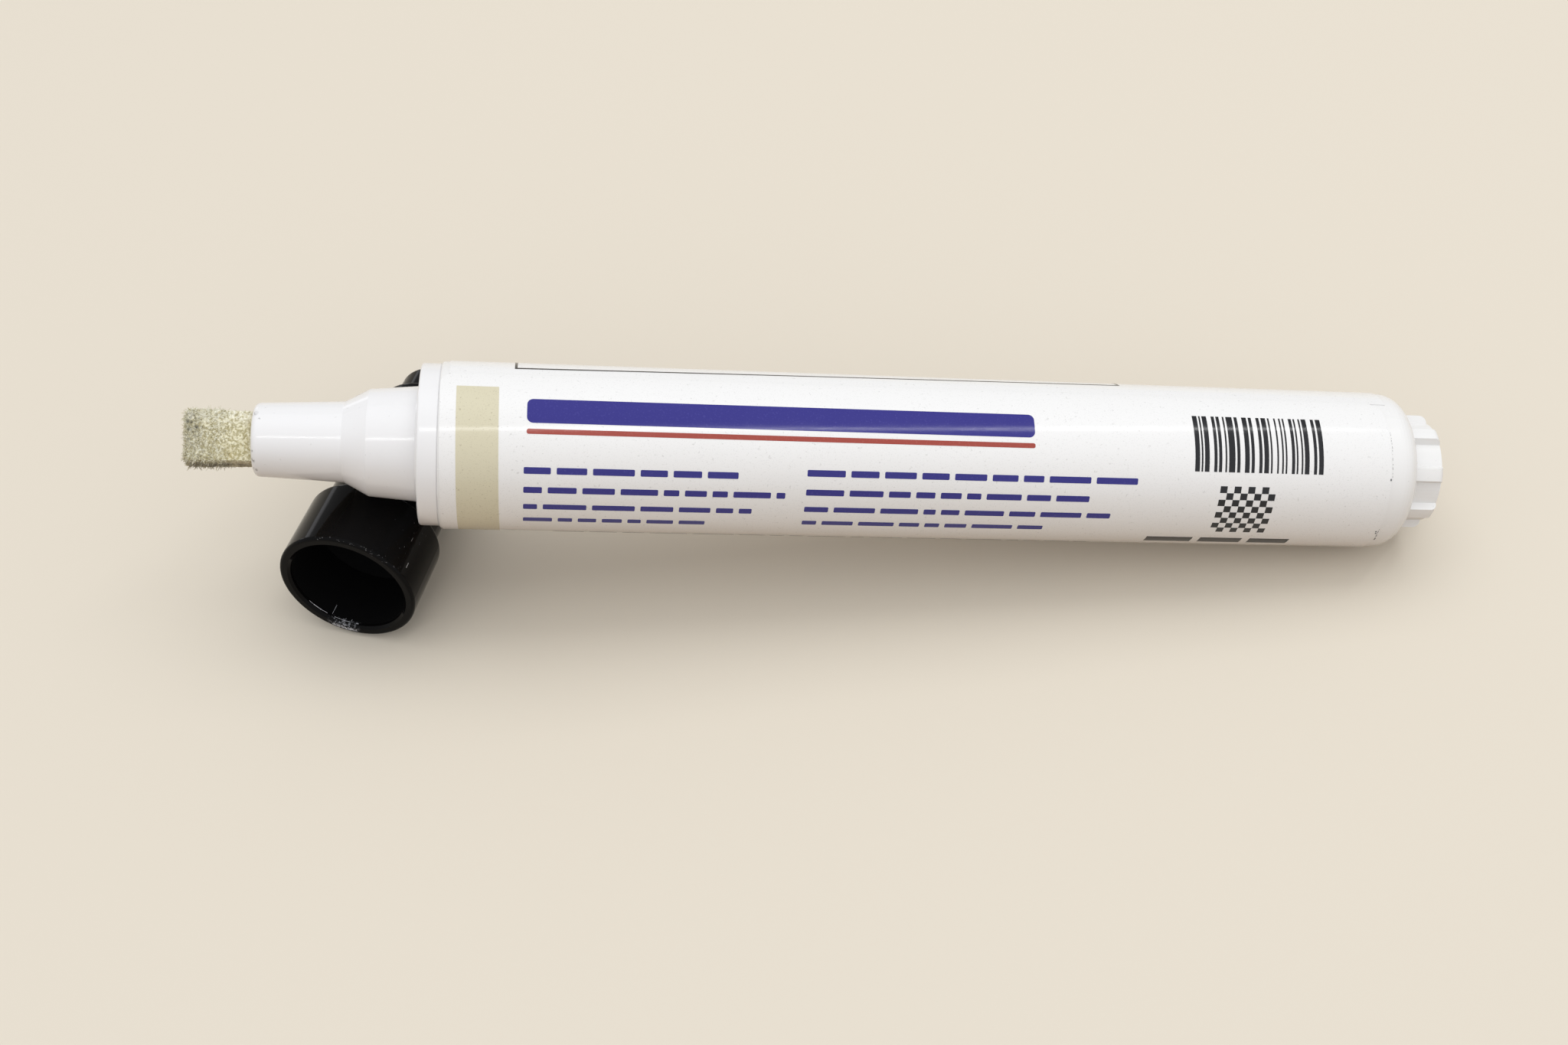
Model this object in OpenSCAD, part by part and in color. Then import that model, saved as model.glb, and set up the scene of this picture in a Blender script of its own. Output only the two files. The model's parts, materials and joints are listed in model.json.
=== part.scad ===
// Wood touch-up marker: a valve-action felt marker with its cap off. The front of the marker is propped
// on its own cap, which lies on its side under the neck. +Z is up, +X runs along the marker from the
// nib to the tail, and the origin is on the table under the middle of the whole.
// Lengths are in millimetres. Each piece of the marker is drawn upright about its own axis, with its
// heights counted from the front face of the collar towards the tail, and then laid down.

/* [Barrel] */
// Outer diameter of the barrel just behind the collar
barrel_d = 16.3; // [15.2:0.1:19]
// How much smaller that diameter is at the rear shoulder
barrel_taper = 0.45; // [0:0.05:0.9]
// Length of the barrel from the collar to the flat behind its rear shoulder
barrel_l = 97.8; // [70:0.2:130]
// Wall thickness of the barrel
barrel_wall = 1.2; // [0.9:0.05:1.6]
// Thickness of the barrel's closed rear end
rear_wall = 1.6; // [1.2:0.1:2.4]
// Radius of the rounded rear shoulder
shoulder_r = 2.3; // [1.8:0.1:3.4]

/* [Fluted tail] */
// Diameter over the ribs of the tail
tail_d = 11.7; // [10.6:0.1:12.6]
// Length of the tail behind the barrel
tail_l = 3.15; // [1.6:0.05:6]
// Number of ribs round the tail
tail_ribs = 8; // [6:1:12]
// Share of the tail's circle that the ribs take
rib_share = 0.35; // [0.25:0.05:0.6]
// Depth of the grooves between the ribs
groove_depth = 0.75; // [0.3:0.05:1.2]
// Radius of the rounded rear edge of the tail
tail_edge_r = 0.7; // [0.3:0.05:0.9]
// Turn of the ribs about the axis, from the top towards the front side
tail_turn = 0; // [-22:1:22]

/* [Nose piece] */
// Wall of the nozzle round the nib's chamber, at the nozzle's front
nozzle_wall = 0.54; // [0.4:0.02:1.2]
// How much the nozzle's radius grows towards its rear
nozzle_draft = 0.35; // [0:0.05:0.7]
// Length of the nozzle in front of the cone
nozzle_l = 8.55; // [6:0.05:12]
// Radius of the rounded front edge of the nozzle
nozzle_edge_r = 0.65; // [0.2:0.05:0.9]
// Thickness of the nozzle's front face, which holds the nib's slot
nozzle_face_t = 1.6; // [1:0.1:2.4]
// Length of the cone between nozzle and neck
cone_l = 2.4; // [1.5:0.1:4]
// Diameter of the neck at its front
neck_front_d = 10.5; // [10:0.1:11]
// Diameter of the neck at the collar
neck_rear_d = 11.3; // [11:0.1:11.6]
// Length of the neck
neck_l = 4.9; // [4.2:0.1:7]
// How far the collar's rim lies inside the barrel's surface
collar_step = 0.2; // [0:0.05:0.6]
// Thickness of the collar
collar_l = 2; // [1.4:0.1:4]
// Radius of the collar's rounded front edge
collar_edge_r = 0.25; // [0.1:0.05:0.5]
// Bevel on either side of the joint between collar and barrel
joint_bevel = 0.12; // [0.04:0.02:0.3]
// Length of the spigot that the barrel is pushed on
spigot_l = 8.2; // [5:0.2:12]

/* [Nib] */
// Width of the felt block
nib_w = 4.95; // [4:0.05:6]
// Thickness of the felt block
nib_t = 3.2; // [2.2:0.05:4]
// Length of the felt that stands out of the nozzle
nib_out = 6.1; // [4:0.1:8]
// Turn of the wide face about the axis, from the top towards the front side
nib_turn = 30; // [-90:1:90]
// Radius of the worn corners of the wide face
nib_corner_r = 0.45; // [0.3:0.05:1.2]
// Radius of the worn edges of the narrow face
nib_edge_r = 0.4; // [0.2:0.05:0.8]
// How far the nib can be pressed in
nib_travel = 2; // [1:0.1:3]

/* [Valve] */
// Distance from the front of the neck to the front of the sealing washer
seat_set = 1.9; // [1.4:0.1:3]
// Thickness of the sealing washer
seat_t = 2; // [1.2:0.1:3]
// Diameter of the hole in the sealing washer
seat_hole_d = 3.6; // [3:0.1:4.4]
// Diameter of the stem through the washer
stem_d = 2.4; // [1.8:0.1:2.6]
// Diameter of the stem's head, which the nib pushes
head_d = 5; // [4:0.1:5.6]
// Thickness of the stem's head
head_l = 1.5; // [1:0.1:2.5]
// Free way left between the head and the washer at the end of the travel
head_spare = 0.7; // [0.3:0.1:1.5]
// Diameter of the poppet that closes the washer's hole
poppet_d = 5.6; // [5:0.1:6]
// Thickness of the poppet
poppet_l = 1.25; // [0.8:0.05:2]
// Diameter of the guide pin inside the spring
guide_d = 2.8; // [2:0.1:3.4]
// Length of the guide pin behind the poppet
guide_l = 5; // [3:0.2:6]
// Outer diameter of the valve cup
cup_d = 8.1; // [7.6:0.1:8.6]
// Wall thickness of the valve cup
cup_wall = 0.75; // [0.5:0.05:0.9]
// How far the cup stands out behind the spigot
cup_out = 4.6; // [3.8:0.1:7]
// Thickness of the cup's floor
cup_floor = 1.2; // [0.8:0.1:1.8]
// Thickness of the cup's rim against the spigot
cup_rim_t = 0.9; // [0.6:0.1:1.2]
// Width of the ports in the cup's wall
port_w = 2.2; // [1.2:0.1:3]
// Mean diameter of the spring
spring_d = 4.6; // [4.2:0.1:5.2]
// Diameter of the spring's wire
spring_wire = 0.5; // [0.3:0.05:0.6]
// Number of turns of the spring
spring_turns = 7.5; // [5:0.5:9]

/* [Mixing ball] */
// Diameter of the steel ball
ball_d = 6; // [4:0.5:7.5]

/* [Label] */
// Thickness of the label
label_t = 0.1; // [0.05:0.01:0.14]
// Bare ring of barrel in front of the label
label_front = 0.05; // [0:0.05:2]
// Bare ring of barrel between the label and the shoulder
label_rear = 1.2; // [0.8:0.1:20]
// Width of the seam where the label's ends meet
label_seam = 0.35; // [0.1:0.05:2]
// Turn of the seam about the axis, from the top towards the front side
seam_turn = -13; // [-180:1:180]

/* [Cap] */
// Wall of the skirt at the mouth
skirt_wall = 1.1; // [0.9:0.05:1.6]
// How much the skirt's radius shrinks towards its rear
skirt_draft = 0.09; // [0:0.01:0.25]
// Length of the skirt
skirt_l = 8; // [7:0.1:9]
// Radius of the skirt's rounded rear edge
skirt_edge_r = 0.5; // [0.2:0.05:0.6]
// Radius of the rounded lip round the mouth
lip_r = 0.35; // [0.2:0.05:0.5]
// Diameter of the narrower body
cap_body_d = 11.8; // [11.2:0.1:12.2]
// How much the body's radius shrinks towards its rear
cap_body_draft = 0.05; // [0:0.01:0.2]
// Length of the narrower body
cap_body_l = 16.6; // [14:0.2:26]
// Radius of the body's rounded rear edge
cap_body_edge_r = 0.6; // [0.4:0.1:1]
// Diameter of the end knob
knob_d = 9.3; // [8.6:0.1:9.8]
// Length of the end knob
knob_l = 3.7; // [2.4:0.1:6]
// Radius of the knob's rounded edge
knob_edge_r = 0.5; // [0.4:0.1:1.2]
// Wall of the cap's body and end
cap_wall = 1.15; // [0.9:0.05:1.4]
// Depth of the mouth's straight bore
cap_bore_l = 6.9; // [5:0.1:7]

/* [Fits and clearances] */
// Radial clearance of the pieces that are pushed together
push_fit = 0.04; // [0.02:0.01:0.08]
// Clearance of the nib in its slot, on each side
nib_fit = 0.12; // [0.08:0.02:0.2]
// Radial clearance of the cap on the tail
cap_fit = 0.1; // [0.05:0.01:0.3]
// Gap between pieces that rest against each other
touch_gap = 0.03; // [0.02:0.01:0.08]
// Gap between the marker's front end and the cap that it lies on
prop_gap = 0.06; // [0.04:0.01:0.3]

/* [At rest] */
// Turn of the lying cap away from square to the marker
cap_yaw = 16.5; // [0:0.1:30]
// Distance along the cap, behind its skirt, at which the marker crosses it
cross_set = 1.2; // [0.8:0.1:4]

/* [Hidden] */
$fn = 96;

// Heights along the marker's axis
nozzle_u = -neck_l - cone_l - nozzle_l;
tip_u = nozzle_u - nib_out;
seat_u = -neck_l + seat_set;
seat_rear_u = seat_u + seat_t;
nib_rear_u = seat_u - nib_travel - head_spare - head_l;
poppet_u = seat_rear_u + touch_gap;
poppet_rear_u = poppet_u + poppet_l;
spigot_rear_u = collar_l + spigot_l;
cup_rear_u = spigot_rear_u + cup_out;
cup_floor_u = cup_rear_u - cup_floor;
barrel_rear_u = collar_l + barrel_l;
shoulder_u = barrel_rear_u - shoulder_r;
cavity_rear_u = barrel_rear_u - rear_wall;
tail_rear_u = barrel_rear_u + tail_l;
ball_u = cavity_rear_u - ball_d / 2 - touch_gap;

// Radii about the marker's axis
barrel_r = barrel_d / 2;
barrel_rear_r = barrel_r - barrel_taper / 2;
bore_r = barrel_r - barrel_wall;
bore_rear_r = barrel_rear_r - barrel_wall;
cavity_edge_r = min(2, ball_d / 2 - 0.2);
shoulder_in_r = barrel_rear_r - shoulder_r;
tail_r = tail_d / 2;
nib_half_diagonal = norm([nib_w, nib_t]) / 2;
chamber_r = nib_half_diagonal + nib_fit;
nozzle_r = chamber_r + nozzle_wall;
nozzle_rear_r = nozzle_r + nozzle_draft;
neck_front_r = neck_front_d / 2;
neck_rear_r = neck_rear_d / 2;
collar_r = barrel_r - collar_step;
spigot_r = bore_r - push_fit;
cup_r = cup_d / 2;
cup_bore_r = cup_r - cup_wall;
cup_seat_r = cup_r + push_fit;
ball_in_r = bore_rear_r - ball_d / 2 - touch_gap;

// The barrel's outer radius at height u
function barrel_r_at(u) = barrel_r - barrel_taper / 2 * (u - collar_l) / (shoulder_u - collar_l);

// Sizes along and about the cap's axis, counted from its mouth
cap_bore_r = max(tail_r, neck_rear_r) + cap_fit;
mouth_r = cap_bore_r + skirt_wall;
skirt_r = mouth_r - skirt_draft;
cap_body_r = cap_body_d / 2;
cap_body_rear_r = cap_body_r - cap_body_draft;
cap_body_rear_t = skirt_l + cap_body_l;
cap_chamber_r = cap_body_r - cap_wall;
knob_r = knob_d / 2;
knob_bore_r = knob_r - cap_wall;
cap_l = cap_body_rear_t + knob_l;
cap_step_t = cap_bore_l + (cap_bore_r - cap_chamber_r);

// The lying cap rests on the rounded rear edges of its skirt and of its body
rest_a = [skirt_l - skirt_edge_r, skirt_r - skirt_edge_r];
rest_b = [cap_body_rear_t - cap_body_edge_r, cap_body_rear_r - cap_body_edge_r];
cap_dip = atan2(rest_a.y - rest_b.y, rest_b.x - rest_a.x)
    + asin((skirt_edge_r - cap_body_edge_r) / norm(rest_b - rest_a));
cross_t = skirt_l + cross_set;
cap_h = rest_a.y * cos(cap_dip) + skirt_edge_r + (rest_a.x - cross_t) * sin(cap_dip);

// The marker's neck lies over the cap's skirt, as far forward as the collar needs to clear the cap
axes_apart = neck_front_r + skirt_r + prop_gap;
function clear_ahead(w, r) =
    let (edge = collar_r - collar_edge_r, reach = r + collar_edge_r)
    let (drop = axes_apart - edge * cos(w), side = edge * sin(w) * sin(cap_yaw))
    drop >= reach ? 0 : (sqrt(reach * reach - drop * drop) + side) / cos(cap_yaw) - collar_edge_r;
body_ahead = max([for (w = [-60:2:60]) clear_ahead(w, cap_body_r + prop_gap)]);
skirt_side = asin(min(1, (cross_set + body_ahead * sin(cap_yaw)) / cos(cap_yaw) / collar_r));
skirt_ahead = max([for (k = [0:20]) clear_ahead(-skirt_side - k * 2, skirt_r + prop_gap)]);
cross_u = -max(body_ahead, skirt_ahead);

// The marker leans down to its rear shoulder, which rests on the table
lean_a = shoulder_u - cross_u;
lean_b = shoulder_in_r - axes_apart;
lean = asin((cap_h - shoulder_r) / norm([lean_a, lean_b])) - atan2(lean_b, lean_a);
collar_h = shoulder_in_r * cos(lean) + shoulder_r + shoulder_u * sin(lean);

// Places of the cap from the middle of the collar's front face, before the whole is centred
cap_dir = [sin(cap_yaw) * cos(cap_dip), cos(cap_yaw) * cos(cap_dip), -sin(cap_dip)];
cross_x = cross_u * cos(lean) - axes_apart * sin(lean);
mouth = [cross_x, 0, cap_h] - cross_t * cap_dir;

// Reach of the whole in X and Y
tip_drop = (nib_t / 2 - nib_edge_r) * abs(cos(nib_turn)) + (nib_w / 2 - nib_corner_r) * abs(sin(nib_turn));
low_x = tip_u * cos(lean) - tip_drop * sin(lean);
high_x = (tail_rear_u - tail_edge_r) * cos(lean) + (tail_r - tail_edge_r) * sin(lean) + tail_edge_r;
cap_square = sqrt(1 - cap_dir.y * cap_dir.y);
low_y = mouth.y + lip_r * cap_dir.y - (mouth_r - lip_r) * cap_square - lip_r;
high_y = mouth.y + (cap_l - knob_edge_r) * cap_dir.y + (knob_r - knob_edge_r) * cap_square + knob_edge_r;
centre = [(low_x + high_x) / 2, (min(low_y, -barrel_r) + max(high_y, barrel_r)) / 2, 0];

// Points along the spring's wire, and the least gap between its turns
spring_a = poppet_rear_u + spring_wire / 2 + touch_gap;
spring_b = cup_floor_u - spring_wire / 2 - touch_gap;
spring_steps = round(spring_turns * 8);
function spring_point(i) = let (a = 45 * i, u = spring_a + (spring_b - spring_a) * i / spring_steps)
    [spring_d / 2 * cos(a), spring_d / 2 * sin(a), u];
spring_path = [for (i = [0:spring_steps]) spring_point(i)];
spring_gap = min([for (i = [0:spring_steps], j = [i + 5:1:spring_steps])
    norm(spring_path[i] - spring_path[j])]) - spring_wire;
echo(spring_gap = spring_gap);
echo(lean = lean, cap_dip = cap_dip, cross_u = cross_u, collar_h = collar_h, centre = centre, mouth = mouth);

// Points on an arc, from angle a to angle b
function arc(c, r, a, b, n = 6) = [for (i = [0:n]) c + r * [cos(a + (b - a) * i / n), sin(a + (b - a) * i / n)]];

// Lays a piece of the marker down: its axis leans to the tail, and its own +X side comes to the top
module lay_marker() {
    translate([0, 0, collar_h] - centre) rotate([0, 90 + lean, 0]) rotate([0, 0, 180]) children();
}

// Lays the cap on its side under the neck
module lay_cap() {
    translate(mouth - centre) rotate([-90 - cap_dip, 0, -cap_yaw]) children();
}

// A tube swept along a helix's points, closed at both ends
module wire(path, d, n = 6) {
    last = len(path) - 1;
    rings = [for (i = [0:last])
        let (t = path[min(i + 1, last)] - path[max(i - 1, 0)])
        let (out = [path[i].x, path[i].y, 0] / norm([path[i].x, path[i].y]))
        let (side = cross(t / norm(t), out))
        for (k = [0:n - 1]) path[i] + d / 2 * (out * cos(360 * k / n) + side / norm(side) * sin(360 * k / n))];
    walls = [for (i = [0:last - 1], k = [0:n - 1])
        let (a = i * n + k, b = i * n + (k + 1) % n)
        each [[a, b, a + n], [b, b + n, a + n]]];
    ends = [for (k = [1:n - 2]) each [[0, k + 1, k], [last * n, last * n + k, last * n + k + 1]]];
    polyhedron(points = rings, faces = concat(walls, ends), convexity = 8);
}

// One groove of the tail, a wedge that is open to the rear
module tail_groove() {
    half = 180 / tail_ribs * (1 - rib_share);
    bottom = arc([0, 0], tail_r - groove_depth, -half + 1.5, half - 1.5);
    top = tail_r * [cos(half + 1.5), sin(half + 1.5)];
    far = bottom[6] + 3 * (top - bottom[6]);
    translate([0, 0, barrel_rear_u]) linear_extrude(tail_l + 1) polygon(concat(bottom, [far, [far.x, -far.y]]));
}

// Moulded tube with a rounded rear shoulder, closed behind, with the fluted tail that the cap posts on
module barrel() {
    color("white") lay_marker() difference() {
        union() {
            rotate_extrude() polygon(concat([[0, collar_l], [barrel_r - joint_bevel, collar_l],
                [barrel_r, collar_l + joint_bevel]],
                arc([shoulder_in_r, shoulder_u], shoulder_r, 0, 90, 10), [[0, barrel_rear_u]]));
            rotate([0, 0, tail_turn]) difference() {
                rotate_extrude() polygon(concat([[0, cavity_rear_u + 0.2], [tail_r, barrel_rear_u - 0.3]],
                    arc([tail_r - tail_edge_r, tail_rear_u - tail_edge_r], tail_edge_r, 0, 90),
                    [[0, tail_rear_u]]));
                for (k = [0:tail_ribs - 1]) rotate([0, 0, (k + 0.5) * 360 / tail_ribs]) tail_groove();
            }
        }
        rotate_extrude() polygon(concat([[0, collar_l - 1], [bore_r, collar_l - 1], [bore_r, spigot_rear_u]],
            arc([bore_rear_r - cavity_edge_r, cavity_rear_u - cavity_edge_r], cavity_edge_r, 0, 90),
            [[0, cavity_rear_u]]));
    }
}

// Wrap-round label, with its seam along the top
module label() {
    a = collar_l + joint_bevel + label_front;
    b = shoulder_u - label_rear;
    ra = barrel_r_at(a) + touch_gap / 2;
    rb = barrel_r_at(b) + touch_gap / 2;
    half = label_seam / barrel_r * 90 / PI;
    color("whitesmoke") lay_marker() rotate([0, 0, seam_turn + half]) rotate_extrude(angle = 360 - 2 * half)
        polygon([[ra, a], [ra + label_t, a], [rb + label_t, b], [rb, b]]);
}

// Front moulding: nozzle, cone, neck and collar outside, spigot and valve housing inside the barrel
module nose_piece() {
    color("white") lay_marker() difference() {
        rotate_extrude() polygon(concat([[0, nozzle_u]],
            arc([nozzle_r - nozzle_edge_r, nozzle_u + nozzle_edge_r], nozzle_edge_r, -90, 0),
            [[nozzle_rear_r, -neck_l - cone_l], [neck_front_r, -neck_l], [neck_rear_r, -0.3],
                [neck_rear_r + 0.3, 0]],
            arc([collar_r - collar_edge_r, collar_edge_r], collar_edge_r, -90, 0, 3),
            [[collar_r, collar_l - joint_bevel], [collar_r - joint_bevel, collar_l], [spigot_r, collar_l],
                [spigot_r, spigot_rear_u - 0.6],
                [spigot_r - 0.6, spigot_rear_u], [0, spigot_rear_u]]));
        rotate([0, 0, nib_turn]) translate([-nib_t / 2 - nib_fit, -nib_w / 2 - nib_fit, nozzle_u - 1])
            cube([nib_t + 2 * nib_fit, nib_w + 2 * nib_fit, nozzle_face_t + 2]);
        translate([0, 0, nozzle_u + nozzle_face_t]) cylinder(r = chamber_r, h = seat_u - nozzle_u);
        translate([0, 0, seat_u]) cylinder(r = cup_seat_r, h = spigot_rear_u - seat_u + 1);
    }
}

// Outline of one face of the felt block, with its two front corners worn round
module nib_face(w, r) {
    polygon(concat(arc([r - w / 2, tip_u + r], r, 180, 270), arc([w / 2 - r, tip_u + r], r, 270, 360),
        [[w / 2, nib_rear_u], [-w / 2, nib_rear_u]]));
}

// Felt block with worn corners
module nib() {
    color("antiquewhite") lay_marker() rotate([0, 0, nib_turn]) intersection() {
        rotate([90, 0, 90]) linear_extrude(nib_t, center = true) nib_face(nib_w, nib_corner_r);
        rotate([90, 0, 0]) linear_extrude(nib_w + 1, center = true) nib_face(nib_t, nib_edge_r);
    }
}

// Soft sealing washer behind the nib's chamber
module valve_seat() {
    color("dimgray") lay_marker() rotate_extrude()
        polygon([[seat_hole_d / 2, seat_u], [cup_r - 0.2, seat_u], [cup_r, seat_u + 0.2],
            [cup_r, seat_rear_u], [seat_hole_d / 2 + 0.3, seat_rear_u], [seat_hole_d / 2, seat_rear_u - 0.3]]);
}

// Plunger: the head that the nib pushes, the stem, the poppet, and the guide pin inside the spring
module valve_stem() {
    head_u = nib_rear_u + touch_gap;
    head_rear_u = nib_rear_u + head_l;
    color("ivory") lay_marker() rotate_extrude()
        polygon([[0, head_u], [head_d / 2 - 0.3, head_u], [head_d / 2, head_u + 0.3],
            [head_d / 2, head_rear_u - 0.4], [stem_d / 2 + 0.3, head_rear_u], [stem_d / 2, head_rear_u + 0.3],
            [stem_d / 2, poppet_u], [poppet_d / 2 - 0.2, poppet_u], [poppet_d / 2, poppet_u + 0.2],
            [poppet_d / 2, poppet_rear_u], [guide_d / 2, poppet_rear_u],
            [guide_d / 2, poppet_rear_u + guide_l - 0.5], [guide_d / 2 - 0.5, poppet_rear_u + guide_l],
            [0, poppet_rear_u + guide_l]]);
}

// Steel compression spring between the poppet and the cup's floor
module valve_spring() {
    color("silver") lay_marker() wire(spring_path, spring_wire);
}

// Cup that holds the spring, plugged into the nose piece, with ports that let the colour in
module valve_cup() {
    port_u = spigot_rear_u + cup_rim_t + 0.4;
    color("gainsboro") lay_marker() difference() {
        rotate_extrude() polygon([[0, seat_rear_u], [cup_r, seat_rear_u], [cup_r, spigot_rear_u],
            [cup_r + 1.1, spigot_rear_u], [cup_r + 1.1, spigot_rear_u + cup_rim_t],
            [cup_r, spigot_rear_u + cup_rim_t], [cup_r, cup_rear_u - 0.5], [cup_r - 0.5, cup_rear_u],
            [0, cup_rear_u]]);
        translate([0, 0, seat_rear_u - 1]) cylinder(r = cup_bore_r, h = cup_floor_u - seat_rear_u + 1);
        translate([0, 0, cup_floor_u - 1]) cylinder(d = guide_d - 0.8, h = cup_floor + 2);
        for (k = [0, 1]) rotate([0, 0, 45 + 90 * k])
            translate([-port_w / 2, -cup_r - 1, port_u])
            cube([port_w, 2 * cup_r + 2, cup_floor_u - port_u - 0.2]);
    }
}

// Loose steel ball that stirs the colour; at rest it has rolled down to the tail
module mixing_ball() {
    color("silver") lay_marker() translate([-ball_in_r, 0, ball_u]) sphere(d = ball_d);
}

// Moulded cap: wide skirt, narrower body and end knob, hollow from the mouth
module cap() {
    color("black") lay_cap() difference() {
        rotate_extrude() polygon(concat([[0, 0]], arc([mouth_r - lip_r, lip_r], lip_r, -90, 0),
            arc([skirt_r - skirt_edge_r, skirt_l - skirt_edge_r], skirt_edge_r, 0, 90),
            [[cap_body_r + 0.2, skirt_l], [cap_body_r, skirt_l + 0.2]],
            arc([cap_body_rear_r - cap_body_edge_r, cap_body_rear_t - cap_body_edge_r], cap_body_edge_r, 0, 90),
            [[knob_r + 0.2, cap_body_rear_t], [knob_r, cap_body_rear_t + 0.2]],
            arc([knob_r - knob_edge_r, cap_l - knob_edge_r], knob_edge_r, 0, 90), [[0, cap_l]]));
        rotate_extrude() polygon([[0, -1], [cap_bore_r + 0.25, -1], [cap_bore_r + 0.25, 0],
            [cap_bore_r, 0.25], [cap_bore_r, cap_bore_l], [cap_chamber_r, cap_step_t],
            [cap_chamber_r, cap_body_rear_t - cap_wall], [knob_bore_r, cap_body_rear_t - cap_wall],
            [knob_bore_r, cap_l - cap_wall], [0, cap_l - cap_wall]]);
    }
}

barrel();
label();
nose_piece();
nib();
valve_seat();
valve_stem();
valve_spring();
valve_cup();
mixing_ball();
cap();
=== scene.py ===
import json
import math
import random

import bmesh
import bpy
from mathutils import Matrix, Vector, noise


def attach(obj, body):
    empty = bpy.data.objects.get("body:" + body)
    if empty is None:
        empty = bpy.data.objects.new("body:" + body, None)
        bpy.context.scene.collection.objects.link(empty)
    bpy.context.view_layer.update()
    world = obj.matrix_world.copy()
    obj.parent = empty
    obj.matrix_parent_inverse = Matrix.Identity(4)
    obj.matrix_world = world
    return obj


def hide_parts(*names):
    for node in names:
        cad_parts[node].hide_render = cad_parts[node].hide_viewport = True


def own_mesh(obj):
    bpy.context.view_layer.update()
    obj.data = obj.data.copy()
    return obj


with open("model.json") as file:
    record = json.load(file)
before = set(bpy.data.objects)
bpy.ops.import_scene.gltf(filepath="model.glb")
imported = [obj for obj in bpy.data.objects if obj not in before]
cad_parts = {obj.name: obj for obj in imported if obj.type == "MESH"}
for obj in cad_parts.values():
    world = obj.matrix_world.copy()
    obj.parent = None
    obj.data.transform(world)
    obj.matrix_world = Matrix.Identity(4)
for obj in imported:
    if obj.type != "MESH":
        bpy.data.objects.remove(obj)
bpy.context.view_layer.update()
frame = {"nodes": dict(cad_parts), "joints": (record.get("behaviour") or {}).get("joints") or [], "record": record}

MM = 0.001
nodes = frame["nodes"]
joints = {j["name"]: j for j in frame["joints"]}
mounts = {m["name"]: m for m in frame["record"]["mounts"]}

# Sizes that the solids have, in mm: u runs along the marker from the collar's front face towards the tail,
# t along the cap from its mouth towards its knob
TAIL_U, SHOULDER_U, NOZZLE_U, CUP_FLOOR_U = 102.95, 97.5, -15.85, 13.6
BARREL_R, BARREL_TAPER, COLLAR_L = 8.15, 0.225, 2.0
NIB_W, NIB_T, NIB_TRAVEL, NIB_TURN = 4.95, 3.2, 2.0, math.radians(30)
CAP_R, SKIRT_TAPER, SKIRT_L, LIP_R = 7.05, 0.09, 8.0, 0.35
BORE_R, CHAMBER_R, MOUTH_MOUNT_T = 5.95, 4.75, 3.5

# The label: its thickness, the room under it and its two edges, then its radius and that of its corners (mm),
# its seam and the half gap there (degrees), and its skew (mm per degree)
LABEL_T, LABEL_GAP, LABEL_A, LABEL_B = 0.1, 0.015, 2.04, 96.12
LABEL_R, LABEL_CORNER_R, SEAM, SEAM_GAP, LABEL_SKEW = 8.26, 1.5, -15.0, 0.1, 0.0021
# The seam's lower end: where it starts to dip, over how many degrees, and how far (mm)
DIP_START, DIP_SPAN, DIP = 348.0, 8.0, 0.07
# The colour band: its edges (mm) and its ends (degrees), then its skew (mm per degree), where that stops, and
# its shift (mm)
BAND_A, BAND_B, BAND_START, BAND_END = 3.68, 7.68, -1.4, 268.0
BAND_SKEW, BAND_SKEW_END, BAND_SHIFT = 0.0022, 110.0, -0.08
# Print lies on the label between these two heights (mm), at about this radius
PRINT_LOW, PRINT_HIGH, PRINT_R = 0.002, 0.014, 8.2
# The thin frame on the far side: its start, length, parts of each long line, and its skew (degrees per mm)
FRAME_U, FRAME_L, FRAME_PARTS, FRAME_SKEW = 9.0, 60.65, 20, 0.15
# Wear lies on a surface between these two heights (mm), and its corners have this radius
WEAR_LOW, WEAR_HIGH, WEAR_CORNER_R = 0.001, 0.006, 0.008

# The marker's own frame: phi in degrees from the top towards the front side
AXIS = Vector(joints["nib_press"]["axis"]).normalized()
UP = Vector((-AXIS.z, 0, AXIS.x))
FRONT = Vector((0, -1, 0))
COLLAR = Vector(mounts["tail_end"]["pos_m"]) - AXIS * TAIL_U * MM
# The lying cap's own frame: psi in degrees from the top to its left
CAP_AXIS = -Vector(mounts["cap_mouth"]["axis"]).normalized()
MOUTH = Vector(mounts["cap_mouth"]["pos_m"]) - CAP_AXIS * MOUTH_MOUNT_T * MM
CAP_UP = (Vector((0, 0, 1)) - CAP_AXIS * CAP_AXIS.z).normalized()
CAP_LEFT = CAP_UP.cross(CAP_AXIS)
# The felt block's own frame: w across its wide face towards the front side, t out of that face
NIB_OUT = UP * math.cos(NIB_TURN) + FRONT * math.sin(NIB_TURN)
NIB_ACROSS = -UP * math.sin(NIB_TURN) + FRONT * math.cos(NIB_TURN)


def on_marker(u, r, phi):
    a = math.radians(phi)
    return COLLAR + (AXIS * u + (UP * math.cos(a) + FRONT * math.sin(a)) * r) * MM


def on_cap(t, r, psi):
    a = math.radians(psi)
    return MOUTH + (CAP_AXIS * t + (CAP_UP * math.cos(a) + CAP_LEFT * math.sin(a)) * r) * MM


def nib_point(u, w, t):
    return COLLAR + (AXIS * u + NIB_ACROSS * w + NIB_OUT * t) * MM


def nib_u(p):
    return (p - COLLAR).dot(AXIS) / MM


def barrel_r(u):
    return BARREL_R - BARREL_TAPER * (u - COLLAR_L) / (SHOULDER_U - COLLAR_L)


# Surfaces: the point at a length, an angle and a height h above the surface, in mm


def label_surface(u, phi, h):
    return on_marker(u, barrel_r(u) + LABEL_GAP + LABEL_T + h, phi)


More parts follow.
